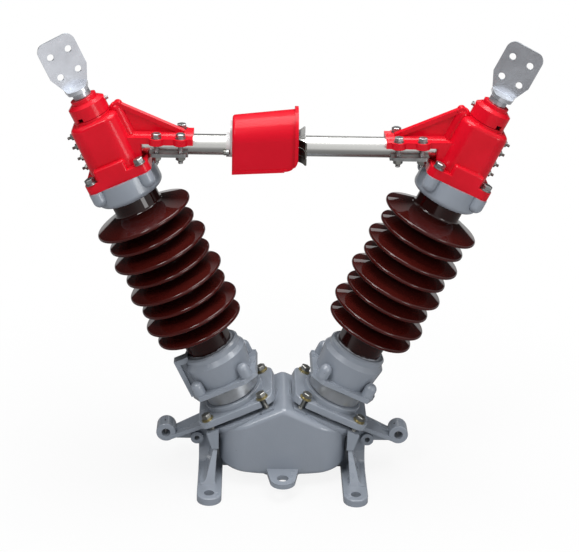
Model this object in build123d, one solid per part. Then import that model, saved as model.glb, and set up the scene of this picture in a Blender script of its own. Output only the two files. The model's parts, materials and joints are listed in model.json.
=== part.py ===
from build123d import *
import os
from math import cos, radians, sin, tan

# A centre-break disconnect switch: two insulator columns lean apart in a V on one
# gear housing, and their arms meet in the middle. Sizes are in millimetres.
# Origin: middle of the ground face. +X towards the right column, +Y to the rear, +Z up.
# Each column also has a frame of its own, as the left one stands: Z along the column
# axis from the point where both axes meet ("station"), X inwards to the other column.

# Whole object
column_tilt = 25.0          # lean of each column from the vertical
apex_drop = 50.0            # the column axes meet this far under the ground face
arm_rise = 71.6             # the arms' centre line crosses the column axes this far above the upper fitting
slip = 0.3                  # running clearance of pins, bores and sliding contacts
seat_gap = 0.15             # clearance of round faces that are clamped together

# Gear housing
housing_width = 272.0
housing_depth = 188.0
housing_corner = 62.0       # corner radius seen from above
seat_station = 214.0        # bearing seat planes
belly_height = 25.0         # lowest point of the curved underside
belly_radius = 700.0
ridge_radius = 18.0
housing_edge = 12.0
hub_radius = 57.0
hub_height = 60.0
barrel_station = 182.0      # where the bearing barrels run into the housing
barrel_root_radius = 72.0
pad_radius = 86.0           # raised round pad under each bearing cover
pad_height = 5.0
bolt_square = 63.3          # half of the cover bolts' square
boss_size = 28.0
boss_foot_size = 14.0       # the outer bosses taper down to the foot ribs
boss_foot_x = 144.0
boss_foot_y = 69.0
boss_foot_z = 80.0

# Feet, ribs, tabs and side arms
foot_x = 155.0
foot_y = 150.0
foot_width = 52.0
foot_thickness = 16.0
foot_hole_radius = 10.75
rib_root = 9.0              # half thickness of the rib at its foot and at its ridge
rib_ridge = 3.0
rib_sweep = 12.0
rib_lean = 10.0
rib_toe = 118.0
rib_head = 66.0
rib_height = 72.0
wall_thickness = 14.0       # leg wall between foot and side arm
wall_sweep = 36.0           # hollow curve from the wall down to the foot
tab_root = 68.0
tab_radius = 27.0
tab_thickness = 11.0
tab_top = 43.0
tab_hole_radius = 12.25
tab_hole_y = 133.0
rod_barrel_x = 252.0
rod_barrel_z = 88.0
rod_barrel_radius = 21.0
rod_barrel_front = 21.5
rod_barrel_back = 29.0
rod_barrel_round = 14.0
rod_bore_radius = 9.5
link_boss_x = 185.0
link_boss_z = 73.0
link_boss_radius = 13.8
link_boss_length = 34.0
link_hole_radius = 5.75
arm_flange = 9.0            # thickness of the side arm's sloping top
arm_web = 12.0
arm_bottom = 66.0
arm_inner = 100.0           # the side arm's web ends inside the housing

# Bearing cover
cover_width = 172.0
cover_depth = 152.0
cover_thickness = 15.0
cover_gap = 10.0            # open gap between the pad and the cover's plate
cover_corner = 25.0
cover_hole_radius = 6.5
spigot_radius = 60.0
collar_radius = 66.0
collar_height = 12.0

# Column shaft and turntable
shaft_radius = 35.0
shaft_bottom = 150.0        # floor of the blind bore in the housing
disc_radius = 58.0
disc_height = 29.0
disc_gap = 0.8
neck_radius = 45.0
neck_height = 6.0

# Lower fitting
plate_width = 148.0
plate_depth = 144.0
plate_thickness = 10.0
plate_inner_cut_x = 28.0    # corners cut off the plate, towards the other column and away from it
plate_inner_cut_y = 19.0
plate_outer_cut_x = 16.0
plate_outer_cut_y = 31.0
cup_foot_radius = 63.0
cup_radius = 69.0
cup_lip_radius = 62.0
cup_shoulder = 50.0         # heights above the plate
cup_height = 74.0
cup_step = 10.0
cup_edge = 4.0
cup_mouth_radius = 53.0
cup_floor = 28.0
stud_boss_x = 53.0
stud_boss_y = 56.0
stud_boss_radius = 13.0
stud_boss_height = 18.0
lug_reach = 80.0
lug_thickness = 10.0
lug_front = 32.0            # the lug stands on the front half of the outer edge only
lug_back = 8.0
lug_web = 12.0
lug_height = 80.0

# Porcelain
core_radius = 49.5
shed_large = 103.0
shed_small = 94.6
shed_pitch = 38.35
shed_count = 8
shed_top_station = 697.0
shed_slope = 21.0
shed_under_slope = 8.0
shed_rim = 8.0

# Upper fitting
drum_bottom = 752.0
drum_height = 47.0
drum_radius = 71.0
drum_edge = 12.0
drum_socket = 34.0
head_bolt = 53.4            # half of the head bolts' square
lobe_radius = 14.5
lobe_height = 18.0

# Head
flange_width = 138.0
flange_depth = 124.0
flange_corner = 17.0
flange_thickness = 20.0
plinth_outer = 40.0         # thicker middle of the flange, front and rear
plinth_inner = 27.0
plinth_height = 43.0
plinth_edge = 6.0
head_width = 105.0
head_depth = 98.0
head_corner = 30.0
head_height = 131.0         # from the upper fitting to the head's top
head_edge = 10.0
head_column_radius = 14.0   # rounded rib up the inner side
head_column_crown = 12.0    # its top above the head's top
spout_radius = 24.0
spout_height = 14.0
spindle_radius = 16.0
spindle_depth = 30.0
ring_radius = 39.0          # flat ring under the rain cap
ring_height = 5.0

# Arm clamp, as distances inwards from the column axis at the arms' height
tube_set = 72.0
saddle_start = 54.0
saddle_length = 121.0
clamp_bolt_middle = 126.2
clamp_bolt_pitch = 48.0
clamp_bolt_y = 32.0
saddle_radius = 27.5        # thin arch over the tube
saddle_half_width = 38.0
saddle_ear_radius = 15.0
saddle_low = 9.0            # underside and top of the flat saddle over the arms' centre line
saddle_high = 22.0
root_half_width = 32.0
root_length = 19.0
root_drop = 52.0
gusset_thickness = 9.0
gusset_bead = 15.0
bead_height = 8.0
gusset_inward = 60.0        # upper end of the gusset's ridge, in the column's frame
gusset_rise = 8.0           # and above the head's top
gusset_short = 18.0         # the ridge ends this far before the saddle does
knob_radius = 9.0
knob_length = 22.0
clamp_plate_half_depth = 45.0
clamp_plate_length = 76.0
clamp_plate_drop = 7.0
clamp_plate_thickness = 7.0
clamp_belly = 6.0

# Arms and contacts
tube_radius = 21.0
tube_bore_radius = 16.0
left_tube_end = 78.0
right_tube_end = 39.0
contact_height = 46.0
finger_thickness = 3.5
finger_flare_start = 4.0    # the fingers open out from this far before the ball's centre
finger_flare_radius = 37.0
finger_flare_angle = 72.0
finger_tip = 8.0            # straight end after the flare
finger_count = 3
finger_gap = 1.5
finger_length = 76.0
block_end = 40.0
contact_neck_radius = 15.0

# Rain hood over the contact
hood_left = 115.0
hood_right = 17.0
hood_wall = 3.0
hood_left_half = 46.0
hood_right_half = 50.0
hood_left_rise = 15.0
hood_right_rise = 26.0
hood_left_drop = 47.0
hood_right_drop = 38.0
hood_lip = 5.0
hood_lip_width = 7.0
hood_corner = 27.0
hood_edge = 6.0
hood_bead = 2.5
hood_bead_height = 6.0
bracket_thickness = 4.0
bracket_half = 26.0
bracket_rise = 46.0
bracket_drop = 20.0
bracket_collar = 8.0
bracket_collar_wall = 3.5
bracket_corner = 10.0

# Terminal, each height counted from the one before
cap_gap = 1.0               # open gap between ring and rain cap
cap_radius = 38.5
cap_skirt = 26.0
cap_height = 32.0
cap_hollow_radius = 34.0
cap_hollow = 20.0
cap_collar_radius = 27.0
cap_collar = 8.0
cap_notch_width = 14.0
cap_notch_height = 8.0
cap_notch_angle = -121.0
stem_height = 13.0
terminal_turn = 18.0        # the plate stands turned about the column axis, outer edge forward
terminal_thickness = 8.0
terminal_foot_radius = 25.5
terminal_foot_shift = 3.0
terminal_width = 80.0
terminal_height = 110.0
terminal_taper = 30.0
terminal_corner = 18.0
terminal_face_y = 25.0
terminal_hole_radius = 7.0
terminal_hole_height = 57.5
terminal_hole_across = 39.4
terminal_hole_along = 44.6

tilt = radians(column_tilt)
low = (Align.CENTER, Align.CENTER, Align.MIN)
drum_top = drum_bottom + drum_height
head_top = drum_top + head_height
line_height = (drum_top + arm_rise) * cos(tilt) - apex_drop
arm_root = (line_height + apex_drop) * tan(tilt)
tube_inner_end = arm_root - tube_set
saddle_end = arm_root - saddle_start - saddle_length
clamp_x = clamp_bolt_middle - arm_root
cap_bottom = head_top + ring_height + cap_gap
cap_top = cap_bottom + cap_height
terminal_foot = cap_top + cap_collar + stem_height


# Frames ----------------------------------------------------------------------

def on_column(shape):
    """From the left column's own frame to the frame of the whole."""
    return Location((0, 0, -apex_drop), (0, -column_tilt, 0)) * shape


def on_right(shape):
    return mirror(shape, about=Plane.YZ)


def from_column(inward, station):
    """The same the other way round, as (x, z)."""
    return inward * cos(tilt) - station * sin(tilt), inward * sin(tilt) + station * cos(tilt) - apex_drop


def to_column(x, z):
    """A point of the middle plane, left of centre, as (inward, station)."""
    return x * cos(tilt) + (z + apex_drop) * sin(tilt), -x * sin(tilt) + (z + apex_drop) * cos(tilt)


def drum(radius, bottom, top, x=0, y=0):
    return Pos(x, y, bottom) * Cylinder(radius, top - bottom, align=low)


def corners(x, y):
    return [(i * x, j * y) for i in (-1, 1) for j in (-1, 1)]


def along_x(radius, start, end, z=line_height, y=0):
    return Pos(start, y, z) * Rot(0, 90, 0) * Cylinder(radius, end - start, align=low)


def along_y(radius, length, x, z):
    return Pos(x, 0, z) * Rot(90, 0, 0) * Cylinder(radius, length)


def upright_plate(points, thickness):
    """A plate in the middle plane from (x, z) points."""
    return extrude(Plane.XZ * make_face(Polyline(*points, close=True)), amount=thickness / 2, both=True)


# Base ------------------------------------------------------------------------

def seat_height(x):
    return (seat_station - abs(x) * sin(tilt)) / cos(tilt) - apex_drop


def gear_housing():
    half = housing_width / 2
    side = belly_height + belly_radius - (belly_radius ** 2 - half ** 2) ** 0.5
    outline = Polyline((half, side), (half, seat_height(half)), (0, seat_height(0)),
                       (-half, seat_height(half)), (-half, side))
    belly = ThreePointArc((-half, side), (0, belly_height), (half, side))
    body = extrude(Plane.XZ * make_face(outline + belly), amount=housing_depth / 2, both=True)
    body = fillet(body.edges().filter_by(Axis.Z), housing_corner)
    body = fillet(body.faces().sort_by(Axis.Z)[0].edges(), housing_edge)
    body = fillet(body.edges().filter_by(Axis.Y).sort_by(Axis.Z)[-1], ridge_radius)
    roof = [face for face in body.faces() if face.normal_at().Z > 0.5]
    return fillet([edge for face in roof for edge in face.edges() if abs(edge.center().Y) > 1], housing_edge)


def bearing_seat():
    pad_top = seat_station + pad_height
    barrel = Pos(0, 0, barrel_station) * Cone(barrel_root_radius, pad_radius, seat_station - barrel_station,
                                              align=low)
    seat = barrel + drum(pad_radius, seat_station, pad_top)
    for y in (-bolt_square, bolt_square):
        seat += Pos(bolt_square, y, barrel_station) * Box(boss_size, boss_size, pad_top - barrel_station, align=low)
    seat = on_column(seat)
    for side in (-1, 1):
        top = on_column(Pos(-bolt_square, side * bolt_square, pad_top) * Rectangle(boss_size, boss_size))
        foot_end = Pos(-boss_foot_x, side * boss_foot_y, boss_foot_z) * Rectangle(boss_foot_size, boss_foot_size)
        seat += loft([foot_end.face(), top.face()])
    return seat


def side_arm():
    bar_u, bar_station = to_column(-rod_barrel_x, rod_barrel_z)
    flange_top = seat_station + pad_height + 2
    root, tip = 34.0, rod_barrel_front
    plan = make_face(Polyline((-60, -root), (bar_u, -tip), (bar_u, tip), (-60, root), close=True))
    flange = on_column(Pos(0, 0, flange_top - arm_flange) * extrude(plan, amount=arm_flange))
    web_top = [(-rod_barrel_x, rod_barrel_z), (-link_boss_x, seat_height(link_boss_x))]
    web = upright_plate(web_top + [(-arm_inner, seat_height(link_boss_x)), (-arm_inner, arm_bottom),
                                   (-rod_barrel_x, rod_barrel_z - rod_barrel_radius)], arm_web)
    barrel = Pos(0, (rod_barrel_back - rod_barrel_front) / 2, 0) * along_y(
        rod_barrel_radius, rod_barrel_front + rod_barrel_back, -rod_barrel_x, rod_barrel_z)
    rims = barrel.edges().filter_by(GeomType.CIRCLE).sort_by(Axis.Y)
    barrel = fillet(rims[-1], rod_barrel_round)
    barrel = fillet(barrel.edges().filter_by(GeomType.CIRCLE).sort_by(Axis.Y)[0], 2)
    boss = along_y(link_boss_radius, link_boss_length, -link_boss_x, link_boss_z)
    return flange + web + barrel + boss


def foot():
    strap = extrude(SlotOverall(2 * foot_y + foot_width, foot_width, rotation=90), amount=foot_thickness)
    strap = fillet(strap.faces().sort_by(Axis.Z)[-1].edges(), 3)
    for y in (-foot_y, foot_y):
        strap -= drum(foot_hole_radius, -1, foot_thickness + 1, 0, y)
    rib = extrude(Plane.YZ * make_face(Polyline((-rib_toe, -2), (-rib_head, rib_height), (rib_head, rib_height),
                                                (rib_toe, -2), close=True)), amount=rib_root + rib_sweep, both=True)
    flank = Line((rib_ridge, rib_height + 1), (rib_root, rib_sweep))
    curve = ThreePointArc((rib_root, rib_sweep), (rib_root + 0.3 * rib_sweep, 0.3 * rib_sweep),
                          (rib_root + rib_sweep, 0))
    down = Polyline((rib_root + rib_sweep, 0), (rib_root + rib_sweep, -2), (0, -2))
    half = flank + curve + down
    section = make_face(half + mirror(half, about=Plane.YZ) + Line((rib_ridge, rib_height + 1),
                                                                  (-rib_ridge, rib_height + 1)))
    rib &= extrude(Plane.XZ * section, amount=rib_toe + 5, both=True)
    rib = Pos(0, 0, foot_thickness) * Rot(0, rib_lean, 0) * rib
    wall_outer = foot_width / 2
    wall = Pos(-wall_outer, 0, 0) * Box(wall_outer + 45, wall_thickness, arm_bottom + 25,
                                        align=(Align.MIN, Align.CENTER, Align.MIN))
    edge = wall_thickness / 2
    for side in (-1, 1):
        base = Polyline((edge + wall_sweep, foot_thickness), (edge + wall_sweep, foot_thickness - 2),
                        (0, foot_thickness - 2), (0, foot_thickness + wall_sweep),
                        (edge, foot_thickness + wall_sweep))
        hollow = ThreePointArc((edge, foot_thickness + wall_sweep),
                               (edge + 0.293 * wall_sweep, foot_thickness + 0.293 * wall_sweep),
                               (edge + wall_sweep, foot_thickness))
        web = extrude(Plane.YZ * make_face(base + hollow), amount=wall_outer, both=True)
        wall += web if side > 0 else mirror(web, about=Plane.XZ)
    return Pos(-foot_x, 0, 0) * (strap + rib + wall)


def tab():
    root = Polyline((-tab_root / 2, -housing_depth / 2), (tab_root / 2, -housing_depth / 2))
    end = Pos(0, -tab_hole_y) * Circle(tab_radius)
    plan = make_hull(root.edges() + end.edges())
    plan += Pos(0, -housing_depth / 2 + 9) * Rectangle(tab_root, 18)
    plate = Pos(0, 0, tab_top - tab_thickness) * extrude(plan, amount=tab_thickness)
    return plate - drum(tab_hole_radius, 0, tab_top + 1, 0, -tab_hole_y)


def base_casting():
    seat = bearing_seat()
    side = side_arm() + foot()
    body = gear_housing() + drum(hub_radius, 0, hub_height)
    body = body + seat + on_right(seat) + side + on_right(side)
    body = body + tab() + mirror(tab(), about=Plane.XZ)
    shaft_bore = on_column(drum(shaft_radius + slip, shaft_bottom, seat_station + pad_height + 1))
    rod_bore = along_y(rod_bore_radius, 3 * rod_barrel_back, -rod_barrel_x, rod_barrel_z)
    link_hole = along_y(link_hole_radius, link_boss_length + 2, -link_boss_x, link_boss_z)
    cuts = shaft_bore + rod_bore + link_hole
    return body - cuts - on_right(cuts)


def bearing_cover():
    bottom = seat_station + pad_height
    plate_low = bottom + cover_gap
    plate_top = plate_low + cover_thickness
    plate = Pos(0, 0, plate_low) * extrude(RectangleRounded(cover_width, cover_depth, cover_corner),
                                           amount=cover_thickness)
    plate = fillet(plate.faces().sort_by(Axis.Z)[-1].edges(), 2.5)
    collar = drum(collar_radius, plate_top, plate_top + collar_height)
    collar = fillet(collar.edges().sort_by(Axis.Z)[-1], 3)
    cover = plate + collar + drum(spigot_radius, bottom, plate_low)
    for x, y in corners(bolt_square, bolt_square):
        cover -= drum(cover_hole_radius, plate_low - 1, plate_top + 1, x, y)
    for side in (-1, 1):
        notch = Box(2 * cover_hole_radius, cover_depth, cover_thickness + 2,
                    align=(Align.CENTER, Align.MIN, Align.MIN))
        cover -= Pos(bolt_square, side * bolt_square, plate_low - 1) * Rot(0, 0, 0 if side > 0 else 180) * notch
    return cover - drum(shaft_radius + slip, bottom - 1, plate_top + collar_height + 1)


# Columns ---------------------------------------------------------------------

cover_top = seat_station + pad_height + cover_gap + cover_thickness + collar_height
disc_bottom = cover_top + disc_gap
plate_bottom = disc_bottom + disc_height + neck_height
plate_top = plate_bottom + plate_thickness
socket_floor = plate_top + cup_floor
socket_roof = drum_bottom + drum_socket


def column_shaft():
    shaft = drum(shaft_radius, shaft_bottom + slip, disc_bottom)
    disc = drum(disc_radius, disc_bottom, disc_bottom + disc_height)
    disc = chamfer(disc.edges().filter_by(GeomType.CIRCLE), 1.5)
    return shaft + disc + drum(neck_radius, disc_bottom + disc_height, plate_bottom)


def lower_fitting(with_lug):
    half, deep = plate_width / 2, plate_depth / 2
    front = [(-half, plate_outer_cut_y - deep), (plate_outer_cut_x - half, -deep),
             (half - plate_inner_cut_x, -deep), (half, plate_inner_cut_y - deep)]
    outline = make_face(Polyline(*front, *[(x, -y) for x, y in reversed(front)], close=True))
    plate = Pos(0, 0, plate_bottom) * extrude(outline, amount=plate_thickness)
    rim = plate_top + cup_height
    bore = core_radius + seat_gap
    outline = Polyline((0, plate_bottom), (cup_foot_radius, plate_bottom), (cup_foot_radius, plate_top),
                       (cup_radius, plate_top + cup_shoulder), (cup_lip_radius, plate_top + cup_shoulder + cup_step),
                       (cup_lip_radius, rim - cup_edge), (cup_lip_radius - cup_edge, rim), (cup_mouth_radius, rim),
                       (bore, rim - cup_edge), (bore, socket_floor), (0, socket_floor), close=True)
    cup = revolve(Plane.XZ * make_face(outline), Axis.Z)
    fitting = plate + cup
    for x, y in corners(stud_boss_x, stud_boss_y):
        fitting += drum(stud_boss_radius, plate_top, plate_top + stud_boss_height, x, y)
        fitting += Pos(x, y, plate_top + stud_boss_height) * Sphere(stud_boss_radius)
    if with_lug:
        wide, top = lug_front - lug_back, plate_bottom + plate_thickness + lug_height
        cheek = Pos(-lug_reach, -lug_front, plate_bottom) * Box(
            lug_thickness, wide, top - plate_bottom, align=(Align.MIN, Align.MIN, Align.MIN))
        cheek += Pos(-lug_reach + 1, -lug_front, plate_bottom) * Box(
            lug_reach - cup_foot_radius, wide, plate_thickness, align=(Align.MIN, Align.MIN, Align.MIN))
        cheek += Pos(-lug_reach + 1, -lug_front, top - lug_web) * Box(
            lug_reach - core_radius, wide, lug_web, align=(Align.MIN, Align.MIN, Align.MIN))
        fitting += cheek
    return fitting - drum(bore, socket_floor, rim + 10)


def insulator():
    points = [(0, socket_roof), (core_radius, socket_roof)]
    rims = []
    for i in range(shed_count):
        station = shed_top_station - i * shed_pitch
        radius = shed_large if i % 2 == 0 else shed_small
        reach = radius - core_radius
        points += [(core_radius, station + shed_rim / 2 + reach * tan(radians(shed_slope))),
                   (radius, station + shed_rim / 2), (radius, station - shed_rim / 2),
                   (core_radius, station - shed_rim / 2 + reach * tan(radians(shed_under_slope)))]
        rims.append(radius)
    points += [(core_radius, socket_floor), (0, socket_floor)]
    face = make_face(Polyline(*points, close=True))
    rim_corners = face.vertices().filter_by(lambda v: v.X > core_radius + 20)
    face = fillet(rim_corners, shed_rim / 2 - 0.1)
    roots = face.vertices().filter_by(
        lambda v: abs(v.X - core_radius) < 0.01 and socket_floor + 1 < v.Y < socket_roof - 1)
    face = fillet(roots, 7)
    return revolve(Plane.XZ * face, Axis.Z)


def upper_fitting():
    body = drum(drum_radius, drum_bottom, drum_top)
    body = fillet(body.edges().filter_by(GeomType.CIRCLE).sort_by(Axis.Z)[0], drum_edge)
    for x, y in corners(head_bolt, head_bolt):
        body += drum(lobe_radius, drum_top - lobe_height, drum_top, x, y)
        body += Pos(x, y, drum_top - lobe_height) * Sphere(lobe_radius)
    socket = drum(core_radius + seat_gap, drum_bottom - lobe_radius, socket_roof)
    return body - socket


def head():
    flange_top = drum_top + flange_thickness
    body = Pos(0, 0, drum_top) * extrude(RectangleRounded(flange_width, flange_depth, flange_corner),
                                         amount=flange_thickness)
    body = fillet(body.faces().sort_by(Axis.Z)[-1].edges(), 2)
    plinth = Pos((plinth_inner - plinth_outer) / 2, 0, drum_top) * extrude(
        RectangleRounded(plinth_inner + plinth_outer, flange_depth, plinth_edge), amount=plinth_height)
    body += fillet(plinth.faces().sort_by(Axis.Z)[-1].edges(), plinth_edge - 1)
    trunk = Pos(0, 0, flange_top - 2) * extrude(RectangleRounded(head_width, head_depth, head_corner),
                                                amount=head_top - flange_top + 2, taper=1)
    trunk = fillet(trunk.faces().sort_by(Axis.Z)[-1].edges(), head_edge)
    body += trunk
    crown = head_top + head_column_crown - head_column_radius
    body += drum(head_column_radius, drum_top, crown, head_width / 2 - 2, 0)
    body += Pos(head_width / 2 - 2, 0, crown) * Sphere(head_column_radius)
    body += drum(ring_radius, head_top - 5, head_top + ring_height)
    body += drum(spout_radius, head_top, head_top + spout_height)
    body = on_column(body)

    start = saddle_start - arm_root
    flat = Pos(start, 0, line_height + saddle_low) * Box(
        saddle_length, 2 * saddle_half_width, saddle_high - saddle_low, align=(Align.MIN, Align.CENTER, Align.MIN))
    ear_start = clamp_x - clamp_bolt_pitch / 2 - saddle_ear_radius
    for side in (-1, 1):
        flat -= Pos(start - 1, side * root_half_width, line_height) * Box(
            ear_start - start + 1, saddle_half_width, saddle_high + 5,
            align=(Align.MIN, Align.MIN if side > 0 else Align.MAX, Align.MIN))
    for x, y in corners(clamp_bolt_pitch / 2, clamp_bolt_y):
        flat += drum(saddle_ear_radius, line_height + saddle_low, line_height + saddle_high, x + clamp_x, y)
    arch_over = along_x(saddle_radius, start, start + saddle_length)
    arch_over &= Pos(start, 0, line_height + saddle_low) * Box(
        saddle_length, 2 * saddle_radius, saddle_radius, align=(Align.MIN, Align.CENTER, Align.MIN))
    root = Pos(start + root_length, 0, line_height + saddle_high) * Box(
        root_length + 2 * head_column_radius, 2 * root_half_width, saddle_high + root_drop,
        align=(Align.MAX, Align.CENTER, Align.MAX))
    root = fillet(root.edges().filter_by(Axis.Z).sort_by(Axis.X)[-2:], 6)
    saddle = flat + arch_over + root

    (x0, z0), (x1, z1) = from_column(gusset_inward, head_top + gusset_rise), (
        -saddle_end - gusset_short, line_height + saddle_radius + 2)
    inside = start - head_column_radius
    gusset = upright_plate([(inside, line_height + saddle_low), (x0 - head_column_radius, z0 - head_column_radius),
                            (x0, z0), (x1, z1), (x1, line_height + saddle_low)], gusset_thickness)
    bead = upright_plate([(x0, z0), (x1, z1), (x1 - 4, z1 - bead_height), (x0 - 4, z0 - bead_height)], gusset_bead)
    knob = along_y(knob_radius, knob_length, x0 - 2, z0 - knob_radius + 2)
    body = body + saddle + gusset + bead + knob
    body -= on_column(Pos(0, 0, drum_top) * Box(4 * flange_width, 2 * flange_depth, head_top - drum_top,
                                                align=(Align.CENTER, Align.CENTER, Align.MAX)))
    body -= along_x(tube_radius + seat_gap, -tube_inner_end, 0)
    body -= along_x(tube_radius - 2, -tube_inner_end - 8, 0)

    for x, y in corners(head_bolt, head_bolt):
        body -= on_column(drum(cover_hole_radius, drum_top - 1, flange_top + 1, x, y))
    for x, y in corners(clamp_bolt_pitch / 2, clamp_bolt_y):
        body -= drum(cover_hole_radius - 1, line_height, line_height + saddle_high + 1, x + clamp_x, y)
    bore = drum(spindle_radius + slip, head_top - spindle_depth, head_top + spout_height + 1)
    return body - on_column(bore)


def clamp_plate():
    low_face = line_height - clamp_plate_drop - clamp_plate_thickness
    plate = Pos(clamp_x, 0, low_face) * Box(clamp_plate_length, 2 * clamp_plate_half_depth,
                                            clamp_plate_thickness, align=low)
    plate = fillet(plate.edges().filter_by(Axis.Z), 8)
    start, end = clamp_x - clamp_plate_length / 2, clamp_x + clamp_plate_length / 2
    belly = along_x(tube_radius + clamp_belly, start, end)
    belly &= Pos(clamp_x, 0, line_height - clamp_plate_drop) * Box(
        2 * clamp_plate_length, 4 * tube_radius, 4 * tube_radius, align=(Align.CENTER, Align.CENTER, Align.MAX))
    plate += belly
    plate -= along_x(tube_radius + seat_gap, start - 1, end + 1)
    for x, y in corners(clamp_bolt_pitch / 2, clamp_bolt_y):
        plate -= drum(cover_hole_radius - 1, low_face - 1, low_face + clamp_plate_thickness + 1, x + clamp_x, y)
    return plate


# Arms, contacts and hood -----------------------------------------------------

def arm_tube(end):
    return along_x(tube_radius, -tube_inner_end, -end) - along_x(tube_bore_radius, -tube_inner_end - 1, -end + 1)


def contact_block():
    inner = tube_radius
    block = Pos(-left_tube_end, 0, line_height) * Box(left_tube_end - block_end, 2 * inner, contact_height,
                                                      align=(Align.MIN, Align.CENTER, Align.CENTER))
    return block + along_x(tube_bore_radius - seat_gap, -left_tube_end - 25, -left_tube_end)


def finger_row(side):
    """A row of flat contact fingers, one above the other, flared outwards at the tips."""
    inner = tube_radius
    centre = inner + finger_flare_radius
    turn = radians(finger_flare_angle)

    def bent(radius):
        """The straight run along one face, its arc and the straight tip."""
        start = (-finger_flare_start, centre - radius)
        half, end = ((-finger_flare_start + radius * sin(a), centre - radius * cos(a)) for a in (turn / 2, turn))
        tip = (end[0] + finger_tip * cos(turn), end[1] + finger_tip * sin(turn))
        return Line((-finger_length, centre - radius), start) + ThreePointArc(start, half, end) + Line(end, tip), tip

    inside, inside_tip = bent(finger_flare_radius)
    outside, outside_tip = bent(finger_flare_radius - finger_thickness)
    ends = Line((-finger_length, inner), (-finger_length, inner + finger_thickness)) + Line(inside_tip, outside_tip)
    face = make_face(inside + outside + ends)
    height = (contact_height - (finger_count - 1) * finger_gap) / finger_count
    fingers = []
    for i in range(finger_count):
        bottom = line_height - contact_height / 2 + i * (height + finger_gap)
        finger = Pos(0, 0, bottom) * extrude(face, amount=height)
        fingers.append(finger if side > 0 else mirror(finger, about=Plane.XZ))
    return Compound(children=[f.solid() for f in fingers])


def contact_ball():
    """The right arm's contact, made on the left and mirrored with its arm."""
    ball = Pos(0, 0, line_height) * Sphere(tube_radius - slip)
    neck = along_x(contact_neck_radius, -right_tube_end, 0)
    flange = along_x(tube_radius, -right_tube_end, -right_tube_end + 6)
    return ball + neck + flange + along_x(tube_bore_radius - seat_gap, -right_tube_end - 25, -right_tube_end)


def arch(x, half, rise, drop):
    """An upside-down U across the arm at x."""
    sides = Polyline((half, rise), (half, -drop), (-half, -drop), (-half, rise))
    top = ThreePointArc((-half, rise), (0, rise + half), (half, rise))
    return Plane(origin=(x, 0, line_height), x_dir=(0, 1, 0), z_dir=(1, 0, 0)) * make_face(sides + top)


def hood():
    outer = loft([arch(-hood_left, hood_left_half, hood_left_rise, hood_left_drop),
                  arch(hood_right, hood_right_half, hood_right_rise, hood_right_drop)])
    left_rim = outer.faces().sort_by(Axis.X)[0].edges().filter_by(lambda e: e.center().Z > line_height - hood_wall)
    outer = fillet(left_rim, hood_edge)
    inner = loft([arch(-hood_left + hood_wall, hood_left_half - hood_wall, hood_left_rise, hood_left_drop + 20),
                  arch(hood_right + 1, hood_right_half - hood_wall, hood_right_rise, hood_right_drop + 20)])
    lip = extrude(arch(hood_right - hood_lip_width, hood_right_half + hood_lip, hood_right_rise,
                       hood_right_drop), amount=hood_lip_width)
    for side in (-1, 1):
        ends = [Plane(origin=(x, 0, line_height), x_dir=(0, 1, 0), z_dir=(1, 0, 0)) * Pos(
            side * (half + hood_bead / 2 - 0.5), hood_bead_height / 2 - drop) * Rectangle(
            hood_bead + 1, hood_bead_height) for x, half, drop in (
            (-hood_left, hood_left_half, hood_left_drop), (hood_right, hood_right_half, hood_right_drop))]
        lip += loft([end.face() for end in ends])
    shell = outer + lip - inner
    shell -= along_x(tube_radius + 1, -hood_left - 1, -hood_left + hood_wall + 1)
    bottom = line_height - hood_right_drop
    square = Pos(hood_right - hood_corner, 0, bottom + hood_corner) * Box(
        2 * hood_corner, 4 * hood_right_half, 2 * hood_corner, align=(Align.MIN, Align.CENTER, Align.MAX))
    round_corner = along_y(hood_corner, 5 * hood_right_half, hood_right - hood_corner, bottom + hood_corner)
    return shell - (square - round_corner)


def hood_bracket():
    end = -hood_left
    plate = Pos(end - bracket_thickness, 0, line_height - bracket_drop) * Box(
        bracket_thickness, 2 * bracket_half, bracket_rise + bracket_drop,
        align=(Align.MIN, Align.CENTER, Align.MIN))
    plate = fillet(plate.edges().filter_by(Axis.X), bracket_corner)
    collar = along_x(tube_radius + bracket_collar_wall, end - bracket_thickness - bracket_collar,
                     end - bracket_thickness)
    return plate + collar - along_x(tube_radius + seat_gap, end - 4 * bracket_collar, end + 1)


# Terminals -------------------------------------------------------------------

def rain_cap():
    skirt_top = cap_bottom + cap_skirt
    outline = Polyline((0, cap_bottom), (cap_radius, cap_bottom), (cap_radius, skirt_top),
                       (cap_collar_radius + 3, cap_top), (cap_collar_radius, cap_top),
                       (cap_collar_radius, cap_top + cap_collar), (0, cap_top + cap_collar), close=True)
    cap = revolve(Plane.XZ * make_face(outline), Axis.Z)
    cap -= drum(cap_hollow_radius, cap_bottom - 1, cap_bottom + cap_hollow)
    cap -= Rot(0, 0, cap_notch_angle) * Pos(cap_hollow_radius - 2, 0, cap_bottom - 1) * Box(
        cap_radius, cap_notch_width, cap_notch_height + 1, align=(Align.MIN, Align.CENTER, Align.MIN))
    return cap - drum(spindle_radius + seat_gap, cap_bottom - 1, cap_top + cap_collar + 1)


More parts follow.
